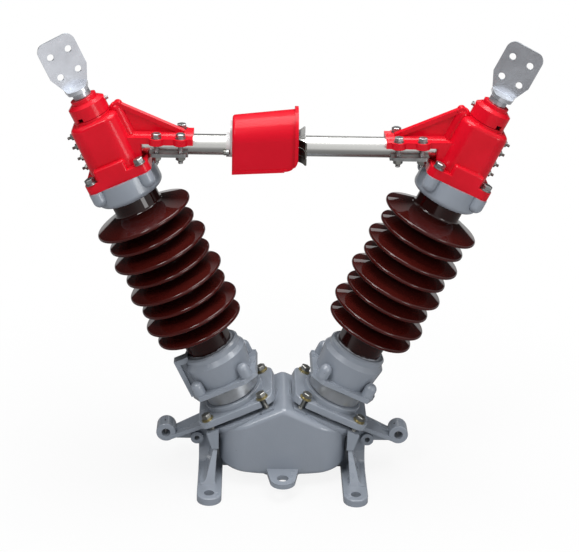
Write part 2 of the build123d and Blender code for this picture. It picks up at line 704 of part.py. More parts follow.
def terminal():
    spindle = drum(spindle_radius, head_top - spindle_depth + slip, terminal_foot)
    back = terminal_face_y + terminal_thickness
    plan = Pos(0, -terminal_foot_shift) * Circle(terminal_foot_radius) + Pos(0, -terminal_foot_shift) * Rectangle(
        2 * terminal_foot_radius, back + terminal_foot_shift, align=(Align.CENTER, Align.MIN))
    foot_plate = Pos(0, 0, terminal_foot) * extrude(plan, amount=terminal_thickness)
    half, neck = terminal_width / 2, terminal_foot_radius
    bend, top = terminal_foot + terminal_thickness, terminal_foot + terminal_height
    outline = Polyline((-neck, terminal_foot), (neck, terminal_foot), (neck, bend), (half, bend + terminal_taper),
                       (half, top), (-half, top), (-half, bend + terminal_taper), (-neck, bend), close=True)
    face = make_face(outline)
    face = fillet(face.vertices().group_by(Axis.Y)[-1], terminal_corner)
    for x, y in corners(terminal_hole_across / 2, terminal_hole_along / 2):
        face -= Pos(x, terminal_foot + terminal_hole_height + y) * Circle(terminal_hole_radius)
    pad = Plane(origin=(0, back, 0), x_dir=(1, 0, 0), z_dir=(0, -1, 0)) * face
    pad = foot_plate + extrude(pad, amount=terminal_thickness)
    return spindle + Rot(0, 0, terminal_turn) * pad


# Assembly --------------------------------------------------------------------

parts = {"base_casting": base_casting()}
cover = on_column(bearing_cover())
shaft = on_column(column_shaft())
porcelain = on_column(insulator())
upper = on_column(upper_fitting())
housing = head()
plate = clamp_plate()
cap = on_column(rain_cap())
pad = on_column(terminal())
for side, place in (("left", lambda shape: shape), ("right", on_right)):
    parts[side + "_bearing_cover"] = place(cover)
    parts[side + "_column_shaft"] = place(shaft)
    parts[side + "_lower_fitting"] = place(on_column(lower_fitting(side == "left")))
    parts[side + "_insulator"] = place(porcelain)
    parts[side + "_upper_fitting"] = place(upper)
    parts[side + "_head"] = place(housing)
    parts[side + "_clamp_plate"] = place(plate)
    parts[side + "_arm_tube"] = place(arm_tube(left_tube_end if side == "left" else right_tube_end))
    parts[side + "_rain_cap"] = place(cap)
    parts[side + "_terminal"] = place(pad)
parts["contact_block"] = contact_block()
parts["front_fingers"] = finger_row(-1)
parts["rear_fingers"] = finger_row(1)
parts["contact_ball"] = on_right(contact_ball())
parts["hood"] = hood()
parts["hood_bracket"] = hood_bracket()

os.makedirs("parts", exist_ok=True)
for name, shape in parts.items():
    export_step(shape, "parts/" + name + ".step")
    print(name, round(shape.volume / 1000, 1), "cm3")
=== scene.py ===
import json
import math

import bmesh
import bpy
from mathutils import Matrix, Vector

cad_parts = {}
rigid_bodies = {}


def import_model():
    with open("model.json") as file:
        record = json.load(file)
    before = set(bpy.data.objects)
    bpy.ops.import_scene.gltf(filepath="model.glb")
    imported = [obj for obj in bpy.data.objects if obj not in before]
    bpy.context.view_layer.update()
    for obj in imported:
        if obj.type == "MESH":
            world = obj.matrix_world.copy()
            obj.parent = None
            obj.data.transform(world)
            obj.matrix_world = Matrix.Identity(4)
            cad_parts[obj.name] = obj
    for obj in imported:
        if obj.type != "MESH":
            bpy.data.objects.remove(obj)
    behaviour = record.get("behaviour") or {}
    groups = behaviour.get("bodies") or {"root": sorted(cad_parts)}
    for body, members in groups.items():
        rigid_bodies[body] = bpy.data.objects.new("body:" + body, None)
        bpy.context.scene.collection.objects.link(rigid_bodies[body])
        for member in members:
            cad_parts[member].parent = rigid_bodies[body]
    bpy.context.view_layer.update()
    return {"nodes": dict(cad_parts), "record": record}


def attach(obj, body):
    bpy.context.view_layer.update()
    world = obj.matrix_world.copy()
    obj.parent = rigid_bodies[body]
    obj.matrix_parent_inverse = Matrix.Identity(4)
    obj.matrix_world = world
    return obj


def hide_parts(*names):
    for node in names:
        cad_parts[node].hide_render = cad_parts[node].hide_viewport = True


# one pole of a centre-break disconnect switch: finishes, bolts, small pieces, porcelain and a white studio
for leftover in list(bpy.data.objects):
    bpy.data.objects.remove(leftover)
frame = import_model()
nodes = frame["nodes"]
print("frame loaded:", len(nodes), "nodes")

# how both columns stand: they lean apart from one point under the floor
columns = {"lean": 25.0, "meetBelow": 0.050}
bodyOf = {node: body for body, members in frame["record"]["behaviour"]["bodies"].items() for node in members}
slotOf = {entry["node"]: entry["material_slot"] for entry in frame["record"]["subparts"]}


def onColumn(side, inward, across, along):
    # a point in a column's own frame: inwards, to the rear, and along its axis
    lean = math.radians(columns["lean"])
    x = -along * math.sin(lean) + inward * math.cos(lean)
    z = along * math.cos(lean) + inward * math.sin(lean) - columns["meetBelow"]
    return Vector((x if side == "left" else -x, across, z))


def columnAxis(side):
    # the upward direction of a column's axis
    lean = math.radians(columns["lean"])
    return Vector((-math.sin(lean) if side == "left" else math.sin(lean), 0, math.cos(lean)))


def columnMatrix(side):
    # takes what is built upright about the origin to a column's axis
    lean = math.radians(columns["lean"] if side == "right" else -columns["lean"])
    return Matrix.Translation((0, 0, -columns["meetBelow"])) @ Matrix.Rotation(lean, 4, "Y")


def newGroup(name, inputs, outputs, treeKind="ShaderNodeTree"):
    # an empty group with its sockets, which are listed by kind
    group = bpy.data.node_groups.new(name, treeKind)
    for way, sockets in (("INPUT", inputs), ("OUTPUT", outputs)):
        for kind, labels in sockets.items():
            for label in labels:
                group.interface.new_socket(name=label, in_out=way, socket_type="NodeSocket" + kind)
    start = group.nodes.new("NodeGroupInput")
    end = group.nodes.new("NodeGroupOutput")
    return group, start, end


def feed(tree, socket, value):
    # sets a socket to a value or links it to another socket
    if isinstance(value, bpy.types.NodeSocket):
        tree.links.new(value, socket)
    else:
        socket.default_value = value


def addNode(tree, kind, settings=None, inputs=None):
    # a node with its settings and its inputs
    node = tree.nodes.new(kind)
    for key, value in (settings or {}).items():
        setattr(node, key, value)
    for key, value in (inputs or {}).items():
        feed(tree, node.inputs[key], value)
    return node


def mathNode(tree, operation, first, second=None, clamp=False):
    inputs = {0: first} if second is None else {0: first, 1: second}
    return addNode(tree, "ShaderNodeMath", {"operation": operation, "use_clamp": clamp}, inputs).outputs[0]


def fade(tree, value, start, end, low, high):
    # a soft step from low to high
    step = addNode(tree, "ShaderNodeMapRange", {"interpolation_type": "SMOOTHSTEP"},
                   {"Value": value, "From Min": start, "From Max": end, "To Min": low, "To Max": high})
    return step.outputs["Result"]


def blend(tree, factor, first, second):
    return addNode(tree, "ShaderNodeMix", {"data_type": "FLOAT"}, {0: factor, 2: first, 3: second}).outputs[0]


def mixColour(tree, factor, first, second):
    return addNode(tree, "ShaderNodeMix", {"data_type": "RGBA"}, {0: factor, 6: first, 7: second}).outputs[2]


def mixNumber(tree, factor, first, second):
    node = addNode(tree, "ShaderNodeMapRange", None, {"Value": factor, "To Min": first, "To Max": second})
    return node.outputs["Result"]


def makeMottle():
    # two sizes of noise: slow patches for colour, fine grain for bump
    group, start, end = newGroup(
        "mottle", {"Float": ("Patch Scale", "Grain Scale", "Contrast"), "Vector": ("Stretch",)},
        {"Float": ("Patch", "Grain")})
    place = addNode(group, "ShaderNodeTexCoord").outputs["Object"]
    place = addNode(group, "ShaderNodeVectorMath", {"operation": "MULTIPLY"},
                    {0: place, 1: start.outputs["Stretch"]}).outputs[0]
    slow = addNode(group, "ShaderNodeTexNoise", None,
                   {"Vector": place, "Scale": start.outputs["Patch Scale"], "Detail": 4.0, "Roughness": 0.6})
    spread = mathNode(group, "SUBTRACT", slow.outputs["Fac"], 0.5)
    spread = mathNode(group, "MULTIPLY", spread, start.outputs["Contrast"])
    spread = mathNode(group, "ADD", spread, 0.5, clamp=True)
    fine = addNode(group, "ShaderNodeTexNoise", None,
                   {"Vector": place, "Scale": start.outputs["Grain Scale"], "Detail": 2.0})
    group.links.new(spread, end.inputs["Patch"])
    group.links.new(fine.outputs["Fac"], end.inputs["Grain"])
    return group


def makeSheenAndDust():
    # light dust that lies on what faces up, in patches; where it is strong and pale it is painted sheen, a top made
    # lighter because the light falls from above
    group, start, end = newGroup("dust", {"Float": ("Amount", "Patch")}, {"Float": ("Mask",)})
    facing = addNode(group, "ShaderNodeNewGeometry").outputs["Normal"]
    up = addNode(group, "ShaderNodeSeparateXYZ", None, {0: facing}).outputs["Z"]
    up = mathNode(group, "MAXIMUM", up, 0.0)
    up = mathNode(group, "POWER", up, 2.0)
    mask = mathNode(group, "MULTIPLY", up, start.outputs["Patch"])
    mask = mathNode(group, "MULTIPLY", mask, start.outputs["Amount"], clamp=True)
    group.links.new(mask, end.inputs["Mask"])
    return group


def makeSpecks():
    # a few small pits and spots, only in some of the cells
    group, start, end = newGroup("specks", {"Float": ("Scale", "Size", "Share")}, {"Float": ("Mask",)})
    place = addNode(group, "ShaderNodeTexCoord").outputs["Object"]
    cells = addNode(group, "ShaderNodeTexVoronoi", None, {"Vector": place, "Scale": start.outputs["Scale"]})
    near = mathNode(group, "LESS_THAN", cells.outputs["Distance"], start.outputs["Size"])
    chosen = addNode(group, "ShaderNodeSeparateColor", None, {0: cells.outputs["Color"]}).outputs[0]
    chosen = mathNode(group, "LESS_THAN", chosen, start.outputs["Share"])
    group.links.new(mathNode(group, "MULTIPLY", near, chosen), end.inputs["Mask"])
    return group


# the distances from a column's axis between which the glaze goes from painted shade near the core to its plain colour
coreShadeReach = {"core": 0.05, "rim": 0.095}


def makeCoreShade():
    # how far a point of a leaning column stands from its core: painted shade, the glaze is made darker near the core,
    # where the sheds shade it
    group, start, end = newGroup("pooling", {}, {"Float": ("Mask",)})
    lean = math.radians(columns["lean"])
    place = addNode(group, "ShaderNodeTexCoord").outputs["Object"]
    split = addNode(group, "ShaderNodeSeparateXYZ", None, {0: place})
    aside = mathNode(group, "ABSOLUTE", split.outputs["X"])
    tall = mathNode(group, "ADD", split.outputs["Z"], columns["meetBelow"])
    inward = mathNode(group, "SUBTRACT", mathNode(group, "MULTIPLY", aside, math.cos(lean)),
                      mathNode(group, "MULTIPLY", tall, math.sin(lean)))
    flat = addNode(group, "ShaderNodeCombineXYZ", None, {0: inward, 1: split.outputs["Y"]})
    apart = addNode(group, "ShaderNodeVectorMath", {"operation": "LENGTH"}, {0: flat.outputs[0]}).outputs["Value"]
    mask = fade(group, apart, coreShadeReach["core"], coreShadeReach["rim"], 0.0, 1.0)
    group.links.new(mask, end.inputs["Mask"])
    return group


mottle = makeMottle()
dust = makeSheenAndDust()
specks = makeSpecks()
pooling = makeCoreShade()


# what a finish has unless it says otherwise
plainFinish = {
    "contrast": 1.5, "stretch": (1.0, 1.0, 1.0), "dust": 0.0, "dustColour": (0.5, 0.47, 0.42), "dustRough": 0.4,
    "specks": 0.0, "speckScale": 70.0, "speckSize": 0.06, "speckShade": 0.35, "metallic": 0.0, "specular": 0.5,
    "coat": 0.0, "coatRough": 0.05, "bump": 0.1, "bumpDepth": 0.0004,
}


def makeFinish(name, changes):
    # every surface of the switch: base colour in patches, painted shade near the porcelain's core, dust on what faces
    # up that is painted sheen on the tinned plate, specks, grain in the bump
    finish = {**plainFinish, **changes}
    material = bpy.data.materials.new(name)
    material.use_nodes = True
    tree = material.node_tree
    shader = tree.nodes["Principled BSDF"]
    texture = addNode(tree, "ShaderNodeGroup", {"node_tree": mottle},
                      {"Patch Scale": finish["patchScale"], "Grain Scale": finish["grainScale"],
                       "Contrast": finish["contrast"], "Stretch": finish["stretch"]})
    patch, grain = texture.outputs["Patch"], texture.outputs["Grain"]
    cover = addNode(tree, "ShaderNodeGroup", {"node_tree": dust}, {"Amount": finish["dust"], "Patch": patch})
    mask = cover.outputs["Mask"]
    colour = mixColour(tree, patch, (*finish["dark"], 1), (*finish["light"], 1))
    # painted shade: the glaze is darkened near the porcelain's core
    if "pool" in finish:
        outOfCoreShade = addNode(tree, "ShaderNodeGroup", {"node_tree": pooling}).outputs["Mask"]
        colour = mixColour(tree, outOfCoreShade, (*finish["pool"], 1), colour)
    # dust on what faces up; on the tinned plate this is painted sheen
    colour = mixColour(tree, mask, colour, (*finish["dustColour"], 1))
    spots = addNode(tree, "ShaderNodeGroup", {"node_tree": specks},
                    {"Scale": finish["speckScale"], "Size": finish["speckSize"],
                     "Share": finish["specks"]}).outputs["Mask"]
    colour = mixColour(tree, spots, colour, (*[finish["speckShade"] * part for part in finish["dark"]], 1))
    tree.links.new(colour, shader.inputs["Base Color"])
    rough = mixNumber(tree, patch, finish["rough"][0], finish["rough"][1])
    rough = mathNode(tree, "ADD", rough, mathNode(tree, "MULTIPLY", mask, finish["dustRough"]), clamp=True)
    tree.links.new(rough, shader.inputs["Roughness"])
    for socket, key in (("Metallic", "metallic"), ("Coat Weight", "coat"), ("Coat Roughness", "coatRough"),
                        ("Specular IOR Level", "specular")):
        shader.inputs[socket].default_value = finish[key]
    bump = addNode(tree, "ShaderNodeBump", None,
                   {"Strength": finish["bump"], "Distance": finish["bumpDepth"], "Height": grain})
    tree.links.new(bump.outputs["Normal"], shader.inputs["Normal"])
    return material


# colours are linear; dark and light are the two ends of the patches
finishLooks = {
    "greyPaint": {
        "dark": (0.206, 0.232, 0.272), "light": (0.262, 0.292, 0.338), "patchScale": 9, "grainScale": 300,
        "contrast": 0.9, "rough": (0.22, 0.30), "specular": 0.5, "coat": 0.35, "coatRough": 0.08, "dust": 0.05,
        "bump": 0.30, "bumpDepth": 0.0008,
        "specks": 0.06, "speckScale": 60, "speckSize": 0.045},
    "redPaint": {
        "dark": (0.49, 0.0016, 0.0095), "light": (0.64, 0.0035, 0.018), "patchScale": 14, "grainScale": 240,
        "rough": (0.16, 0.26), "specular": 0.22, "coat": 0.04, "coatRough": 0.12, "dust": 0.02,
        "bump": 0.14, "bumpDepth": 0.0005, "specks": 0.04, "speckScale": 60, "speckSize": 0.045},
    "redHood": {
        "dark": (0.47, 0.0020, 0.0110), "light": (0.57, 0.0035, 0.017), "patchScale": 8, "grainScale": 180,
        "rough": (0.19, 0.27), "specular": 0.15, "coat": 0.03, "coatRough": 0.15, "dust": 0.02,
        "bump": 0.05, "bumpDepth": 0.0005},
    "brownGlaze": {
        "dark": (0.028, 0.0022, 0.0016), "light": (0.060, 0.0044, 0.0030), "patchScale": 9, "grainScale": 60,
        # the colour near the core is painted shade, darker than the glaze
        "pool": (0.015, 0.0020, 0.0016),
        "rough": (0.02, 0.05), "specular": 0.42, "dust": 0.01, "bump": 0.05, "bumpDepth": 0.0012,
        "specks": 0.05, "speckScale": 90, "speckSize": 0.05},
    "polishedSilver": {
        "dark": (0.72, 0.715, 0.69), "light": (0.87, 0.87, 0.85), "patchScale": 26, "grainScale": 700,
        "rough": (0.20, 0.32), "metallic": 1.0, "bump": 0.08, "bumpDepth": 0.0002, "stretch": (0.05, 1.0, 1.0)},
    "satinShaft": {
        "dark": (0.38, 0.40, 0.43), "light": (0.56, 0.59, 0.63), "patchScale": 30, "grainScale": 600,
        "rough": (0.28, 0.40), "metallic": 0.8, "bump": 0.06, "bumpDepth": 0.0002},
    "brightZinc": {
        "dark": (0.24, 0.24, 0.24), "light": (0.44, 0.45, 0.45), "patchScale": 90, "grainScale": 900,
        "rough": (0.30, 0.46), "metallic": 1.0, "bump": 0.08, "bumpDepth": 0.0002},
    "greyBolt": {
        "dark": (0.16, 0.16, 0.15), "light": (0.34, 0.34, 0.32), "patchScale": 80, "grainScale": 900,
        "rough": (0.30, 0.46), "metallic": 0.9, "bump": 0.08, "bumpDepth": 0.0002},
    "yellowZinc": {
        "dark": (0.30, 0.25, 0.13), "light": (0.56, 0.50, 0.30), "patchScale": 90, "grainScale": 900,
        "rough": (0.28, 0.44), "metallic": 0.9, "bump": 0.08, "bumpDepth": 0.0002},
    "tinnedPlate": {
        "dark": (0.51, 0.52, 0.56), "light": (0.66, 0.68, 0.73), "patchScale": 26, "grainScale": 800,
        "rough": (0.14, 0.22), "metallic": 0.78, "bump": 0.03, "bumpDepth": 0.0002,
        # painted sheen: what faces up on the tinned plate is made pale bluish, as lit from above
        "dust": 1.25, "dustColour": (0.84, 0.90, 0.97),
        "specks": 0.10, "speckScale": 80, "speckSize": 0.06},
    # painted shade: the contact fingers are made near-black metal for the hood's shadow on them and the dark hood
    # they mirror
    "darkContact": {
        "dark": (0.05, 0.05, 0.045), "light": (0.20, 0.19, 0.17), "patchScale": 60, "grainScale": 700,
        "rough": (0.3, 0.5), "metallic": 1.0, "bump": 0.1, "bumpDepth": 0.0002},
    "palePlate": {
        "dark": (0.50, 0.50, 0.50), "light": (0.66, 0.66, 0.66), "patchScale": 20, "grainScale": 500,
        "rough": (0.35, 0.5), "dust": 0.03, "bump": 0.08, "bumpDepth": 0.0003},
    "cement": {
        "dark": (0.20, 0.22, 0.25), "light": (0.44, 0.46, 0.50), "patchScale": 130, "grainScale": 500,
        "rough": (0.5, 0.8), "bump": 0.6, "bumpDepth": 0.0012},
    # painted shade: near-black for the shaded insides of the grease holes
    "blackPit": {
        "dark": (0.004, 0.004, 0.005), "light": (0.012, 0.012, 0.014), "patchScale": 200, "grainScale": 900,
        "rough": (0.6, 0.8), "bump": 0.1, "bumpDepth": 0.0002},
}
finishes = {name: makeFinish(name, changes) for name, changes in finishLooks.items()}
slotFinish = {
    "grey_paint": "greyPaint", "red_paint": "redPaint", "red_hood": "redHood", "porcelain": "brownGlaze",
    "silver": "polishedSilver", "zinc": "brightZinc", "pale_plate": "palePlate",
    "terminal_plate": "tinnedPlate", "dark_contact": "darkContact",
}
nodeFinish = {node: slotFinish[slot] for node, slot in slotOf.items()}
for side in ("left_", "right_"):
    nodeFinish.update({side + "column_shaft": "satinShaft", side + "clamp_plate": "brightZinc"})
for name, finish in nodeFinish.items():
    mesh = nodes[name].data
    mesh.materials.clear()
    mesh.materials.append(finishes[finish])
print("finishes made:", len(finishes))


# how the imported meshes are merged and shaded: distances in metres, angle in degrees
smoothing = {"merge": 0.000004, "sliver": 0.000001, "sharpAngle": 28.0}


def addPiece(name, mesh, sharpAngle):
    # a smooth-shaded object at the origin that keeps its sharp edges
    mesh.shade_smooth()
    mesh.set_sharp_from_angle(angle=math.radians(sharpAngle))
    piece = bpy.data.objects.new(name, mesh)
    bpy.context.scene.collection.objects.link(piece)
    return piece


def smoothCopy(node):
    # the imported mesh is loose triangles: a merged copy can be shaded smooth
    mesh = nodes[node].data.copy()
    shape = bmesh.new()
    shape.from_mesh(mesh)
    bmesh.ops.remove_doubles(shape, verts=shape.verts, dist=smoothing["merge"])
    bmesh.ops.dissolve_degenerate(shape, dist=smoothing["sliver"], edges=shape.edges)
    shape.to_mesh(mesh)
    shape.free()
    if mesh.attributes.get("custom_normal"):
        mesh.attributes.remove(mesh.attributes["custom_normal"])
    piece = addPiece(node + "_finished", mesh, smoothing["sharpAngle"])
    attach(piece, bodyOf[node])
    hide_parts(node)
    return piece


grown = ("left_insulator", "right_insulator")  # these two are made again further down
smoothPieces = {name: smoothCopy(name) for name in sorted(nodes) if name not in grown}

# the foot of each terminal plate is sheared off straight on its inner side
footTrim = {"inward": 0.0175, "above": 0.9885, "below": 0.9975}
lean = math.radians(columns["lean"])
for side, flip in (("left", 1), ("right", -1)):
    for vertex in smoothPieces[side + "_terminal"].data.vertices:
        x, y, z = vertex.co
        station = (z + columns["meetBelow"]) * math.cos(lean) - flip * x * math.sin(lean)
        inward = flip * x * math.cos(lean) + (z + columns["meetBelow"]) * math.sin(lean)
        if footTrim["above"] < station < footTrim["below"] and inward > footTrim["inward"]:
            vertex.co = onColumn(side, footTrim["inward"], y, station)
print("smooth pieces:", len(smoothPieces))


# shares of a fastener's own sizes that all of them have in common
fastenerForm = {"cornerPerWidth": 0.57735, "straight": 0.84, "chamfer": 0.16, "chamferWidth": 0.84,
                "springWidth": 0.41, "springThick": 0.8, "springTilt": 0.035,
                "threadMean": 0.955, "threadWave": 0.045, "ringsPerPitch": 0.25,
                "washerSides": 32, "shankSides": 16}


def makeFastenerTree():
    # a hexagon with a chamfered top, a washer and a threaded shank on every point, along its axis
    sizes = ("Head Width", "Head Height", "Washer Width", "Washer Height", "Spring Height", "Shank Width",
             "Shank Below", "Shank Above", "Thread Pitch")
    tree, start, end = newGroup(
        "fasteners", {"Geometry": ("Geometry",), "Float": sizes, "Material": ("Head Material", "Washer Material")},
        {"Geometry": ("Geometry",)}, "GeometryNodeTree")
    value = start.outputs

    def calc(operation, first, second):
        return mathNode(tree, operation, first, second)

    def combine(x, y, z):
        return addNode(tree, "ShaderNodeCombineXYZ", None, {0: x, 1: y, 2: z}).outputs[0]

    def moved(geometry, offset):
        return addNode(tree, "GeometryNodeTransform", None,
                       {"Geometry": geometry, "Translation": offset}).outputs["Geometry"]

    # head: a six-sided prism, then a short cone that takes the corners off
    form = fastenerForm
    corner = calc("MULTIPLY", value["Head Width"], form["cornerPerWidth"])
    tall = calc("MULTIPLY", value["Head Height"], form["straight"])
    cap = calc("MULTIPLY", value["Head Height"], form["chamfer"])
    seat = calc("ADD", value["Washer Height"], value["Spring Height"])
    prism = addNode(tree, "GeometryNodeMeshCone", {"fill_type": "NGON"},
                    {"Vertices": 6, "Radius Top": corner, "Radius Bottom": corner, "Depth": tall})
    bevel = addNode(tree, "GeometryNodeMeshCone", {"fill_type": "NGON"},
                    {"Vertices": 6, "Radius Top": calc("MULTIPLY", corner, form["chamferWidth"]),
                     "Radius Bottom": corner, "Depth": cap})
    head = addNode(tree, "GeometryNodeJoinGeometry")
    tree.links.new(moved(prism.outputs["Mesh"], combine(0.0, 0.0, seat)), head.inputs[0])
    tree.links.new(moved(bevel.outputs["Mesh"], combine(0.0, 0.0, calc("ADD", seat, tall))), head.inputs[0])
    # washer
    washer = addNode(tree, "GeometryNodeMeshCylinder", {"fill_type": "NGON"},
                     {"Vertices": form["washerSides"], "Radius": calc("MULTIPLY", value["Washer Width"], 0.5),
                      "Depth": value["Washer Height"]})
    washerAt = moved(washer.outputs["Mesh"], combine(0.0, 0.0, calc("MULTIPLY", value["Washer Height"], 0.5)))
    # the spring washer is narrower and a little tilted, so its cut end shows
    spring = addNode(tree, "GeometryNodeMeshCylinder", {"fill_type": "NGON"},
                     {"Vertices": form["washerSides"],
                      "Radius": calc("MULTIPLY", value["Washer Width"], form["springWidth"]),
                      "Depth": calc("MULTIPLY", value["Spring Height"], form["springThick"])})
    springAt = addNode(tree, "GeometryNodeTransform", None,
                       {"Geometry": spring.outputs["Mesh"], "Rotation": (form["springTilt"], 0.0, 0.0),
                        "Translation": combine(0.0, 0.0, calc("ADD", value["Washer Height"],
                                                              calc("MULTIPLY", value["Spring Height"], 0.5)))})
    # shank with thread rings
    length = calc("ADD", value["Shank Below"], value["Shank Above"])
    rings = calc("DIVIDE", length, calc("MULTIPLY", value["Thread Pitch"], form["ringsPerPitch"]))
    rings = addNode(tree, "FunctionNodeFloatToInt", None, {0: rings}).outputs[0]
    shank = addNode(tree, "GeometryNodeMeshCylinder", {"fill_type": "NGON"},
                    {"Vertices": form["shankSides"], "Side Segments": rings,
                     "Radius": calc("MULTIPLY", value["Shank Width"], 0.5), "Depth": length})
    place = addNode(tree, "GeometryNodeInputPosition").outputs[0]
    split = addNode(tree, "ShaderNodeSeparateXYZ", None, {0: place})
    wave = calc("MULTIPLY", split.outputs["Z"], calc("DIVIDE", 2 * math.pi, value["Thread Pitch"]))
    wave = mathNode(tree, "SINE", wave)
    wave = calc("ADD", calc("MULTIPLY", wave, form["threadWave"]), form["threadMean"])
    ridged = combine(calc("MULTIPLY", split.outputs["X"], wave), calc("MULTIPLY", split.outputs["Y"], wave),
                     split.outputs["Z"])
    threaded = addNode(tree, "GeometryNodeSetPosition", None,
                       {"Geometry": shank.outputs["Mesh"], "Position": ridged}).outputs["Geometry"]
    middle = calc("MULTIPLY", calc("SUBTRACT", value["Shank Above"], value["Shank Below"]), 0.5)
    threadedAt = moved(threaded, combine(0.0, 0.0, middle))
    # each part in its material, then the whole on every point along its axis
    whole = addNode(tree, "GeometryNodeJoinGeometry")
    for part, label in ((head.outputs[0], "Head Material"), (threadedAt, "Head Material"),
                        (washerAt, "Washer Material"), (springAt.outputs["Geometry"], "Washer Material")):
        coloured = addNode(tree, "GeometryNodeSetMaterial", None, {"Geometry": part, "Material": value[label]})
        tree.links.new(coloured.outputs[0], whole.inputs[0])
    axis = addNode(tree, "GeometryNodeInputNamedAttribute", {"data_type": "FLOAT_VECTOR"}, {"Name": "axis"})
    turn = addNode(tree, "GeometryNodeInputNamedAttribute", {"data_type": "FLOAT"}, {"Name": "turn"})
    spin = addNode(tree, "FunctionNodeAxisAngleToRotation", None,
                   {"Axis": (0, 0, 1), "Angle": turn.outputs["Attribute"]}).outputs[0]
    upright = addNode(tree, "FunctionNodeAlignRotationToVector", {"axis": "Z"},
                      {"Vector": axis.outputs["Attribute"]}).outputs[0]
    both = addNode(tree, "FunctionNodeRotateRotation", {"rotation_space": "LOCAL"},
                   {"Rotation": upright, "Rotate By": spin}).outputs[0]
    placed = addNode(tree, "GeometryNodeInstanceOnPoints", None,
                     {"Points": value["Geometry"], "Instance": whole.outputs[0], "Rotation": both})
    real = addNode(tree, "GeometryNodeRealizeInstances", None, {0: placed.outputs["Instances"]})
    tree.links.new(real.outputs[0], end.inputs[0])
    return tree


def runTree(holder, tree, values):
    # sets the named inputs and keeps the result as a plain mesh
    modifier = holder.modifiers.new("grow", "NODES")
    modifier.node_group = tree
    for item in tree.interface.items_tree:
        if item.item_type == "SOCKET" and item.in_out == "INPUT" and item.name in values:
            modifier[item.identifier] = values[item.name]
    bpy.context.view_layer.update()
    solid = bpy.data.meshes.new_from_object(holder.evaluated_get(bpy.context.evaluated_depsgraph_get()))
    bpy.data.objects.remove(holder)
    return solid


def growOnPoints(name, tree, points, sizes, materials, body, sharpAngle=30.0):
    # runs a tree on a cloud of points that carry an axis and a turn, and keeps the plain mesh
    cloud = bpy.data.meshes.new(name + "Points")
    cloud.from_pydata([tuple(place) for place, axis, turn in points], [], [])
    for label, kind in (("axis", "FLOAT_VECTOR"), ("turn", "FLOAT")):
        cloud.attributes.new(label, kind, "POINT")
    for i, (place, axis, turn) in enumerate(points):
        cloud.attributes["axis"].data[i].vector = axis
        cloud.attributes["turn"].data[i].value = turn
    holder = bpy.data.objects.new(name + "Holder", cloud)
    bpy.context.scene.collection.objects.link(holder)
    piece = addPiece(name, runTree(holder, tree, {**sizes, **materials}), sharpAngle)
    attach(piece, body)


def keepPiece(name, shape, finish, body, sharpAngle=35.0):
    # turns a bmesh into a finished piece on its body
    mesh = bpy.data.meshes.new(name)
    bmesh.ops.recalc_face_normals(shape, faces=shape.faces)
    shape.to_mesh(mesh)
    shape.free()
    mesh.materials.append(finishes[finish])
    piece = addPiece(name, mesh, sharpAngle)
    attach(piece, body)


fasteners = makeFastenerTree()

# which finish heads and washers have, then the sizes of each kind of fastener, where it sits and how it is turned
zincOnly = {"Head Material": finishes["brightZinc"], "Washer Material": finishes["brightZinc"]}
dullNut = {"Head Material": finishes["greyBolt"], "Washer Material": finishes["brightZinc"]}
coverLook = {"Head Material": finishes["greyBolt"], "Washer Material": finishes["yellowZinc"]}
coverBolt = {"Head Width": 0.019, "Head Height": 0.0085, "Washer Width": 0.026, "Washer Height": 0.0025,
             "Spring Height": 0.0025, "Shank Width": 0.012, "Shank Below": 0.0256, "Thread Pitch": 0.00175}
coverBoltPlace = {"square": 0.0633, "seat": 0.244, "turns": (0.5, 0.9)}
headBolt = {"Head Width": 0.019, "Head Height": 0.008, "Washer Width": 0.024, "Washer Height": 0.002,
            "Spring Height": 0.002, "Shank Width": 0.012, "Shank Below": 0.018, "Thread Pitch": 0.00175}
headBoltPlace = {"square": 0.0534, "seat": 0.819, "turns": (0.3, 0.7)}
clampBolt = {"Head Width": 0.017, "Head Height": 0.007, "Washer Width": 0.021, "Washer Height": 0.0015,
             "Spring Height": 0.002, "Shank Width": 0.010, "Shank Below": 0.052, "Thread Pitch": 0.0015}
clampNut = {"Head Width": 0.017, "Head Height": 0.008, "Washer Width": 0.020, "Washer Height": 0.0015,
            "Spring Height": 0.0, "Shank Width": 0.010, "Shank Below": 0.0, "Shank Above": 0.0115,
            "Thread Pitch": 0.0015}
clampPlace = {"middle": 0.2417, "pitch": 0.048, "across": 0.032, "top": 0.761, "bottom": 0.725,
              "boltTurns": (3, 9), "nutTurns": (5, 4)}
headStud = {"Head Width": 0.012, "Head Height": 0.0055, "Washer Width": 0.016, "Washer Height": 0.0014,
            "Spring Height": 0.002, "Shank Width": 0.006, "Shank Below": 0.008, "Shank Above": 0.016,
            "Thread Pitch": 0.001}
headStudPlace = {"out": 0.0525, "foot": 0.819, "taper": 1.0, "stations": (0.9090, 0.8868, 0.8622, 0.8401),
                 "turns": 37}
capScrew = {"Head Width": 0.008, "Head Height": 0.005, "Washer Width": 0.009, "Washer Height": 0.001,
            "Spring Height": 0.0, "Shank Width": 0.005, "Shank Below": 0.006, "Thread Pitch": 0.0008}
capScrewPlace = {"out": 0.0385, "station": 0.954, "angle": 12.0, "turn": 0.4}
corners = [(i, j) for i in (-1, 1) for j in (-1, 1)]
up = Vector((0, 0, 1))


def squareSpots(side, place):
    # four bolts in a square about a column's axis
    first, second = place["turns"]
    return [(onColumn(side, i * place["square"], j * place["square"], place["seat"]), columnAxis(side),
             first * i + second * j) for i, j in corners]


def clampSpots(side, height, axis, turns):
    # four bolts through a clamp's ears, beside the arm
    sign = -1 if side == "left" else 1
    spots = [(sign * (clampPlace["middle"] + i * clampPlace["pitch"] / 2), j * clampPlace["across"])
             for i, j in corners]
    return [(Vector((x, y, height)), axis, turns[0] * x + turns[1] * y) for x, y in spots]


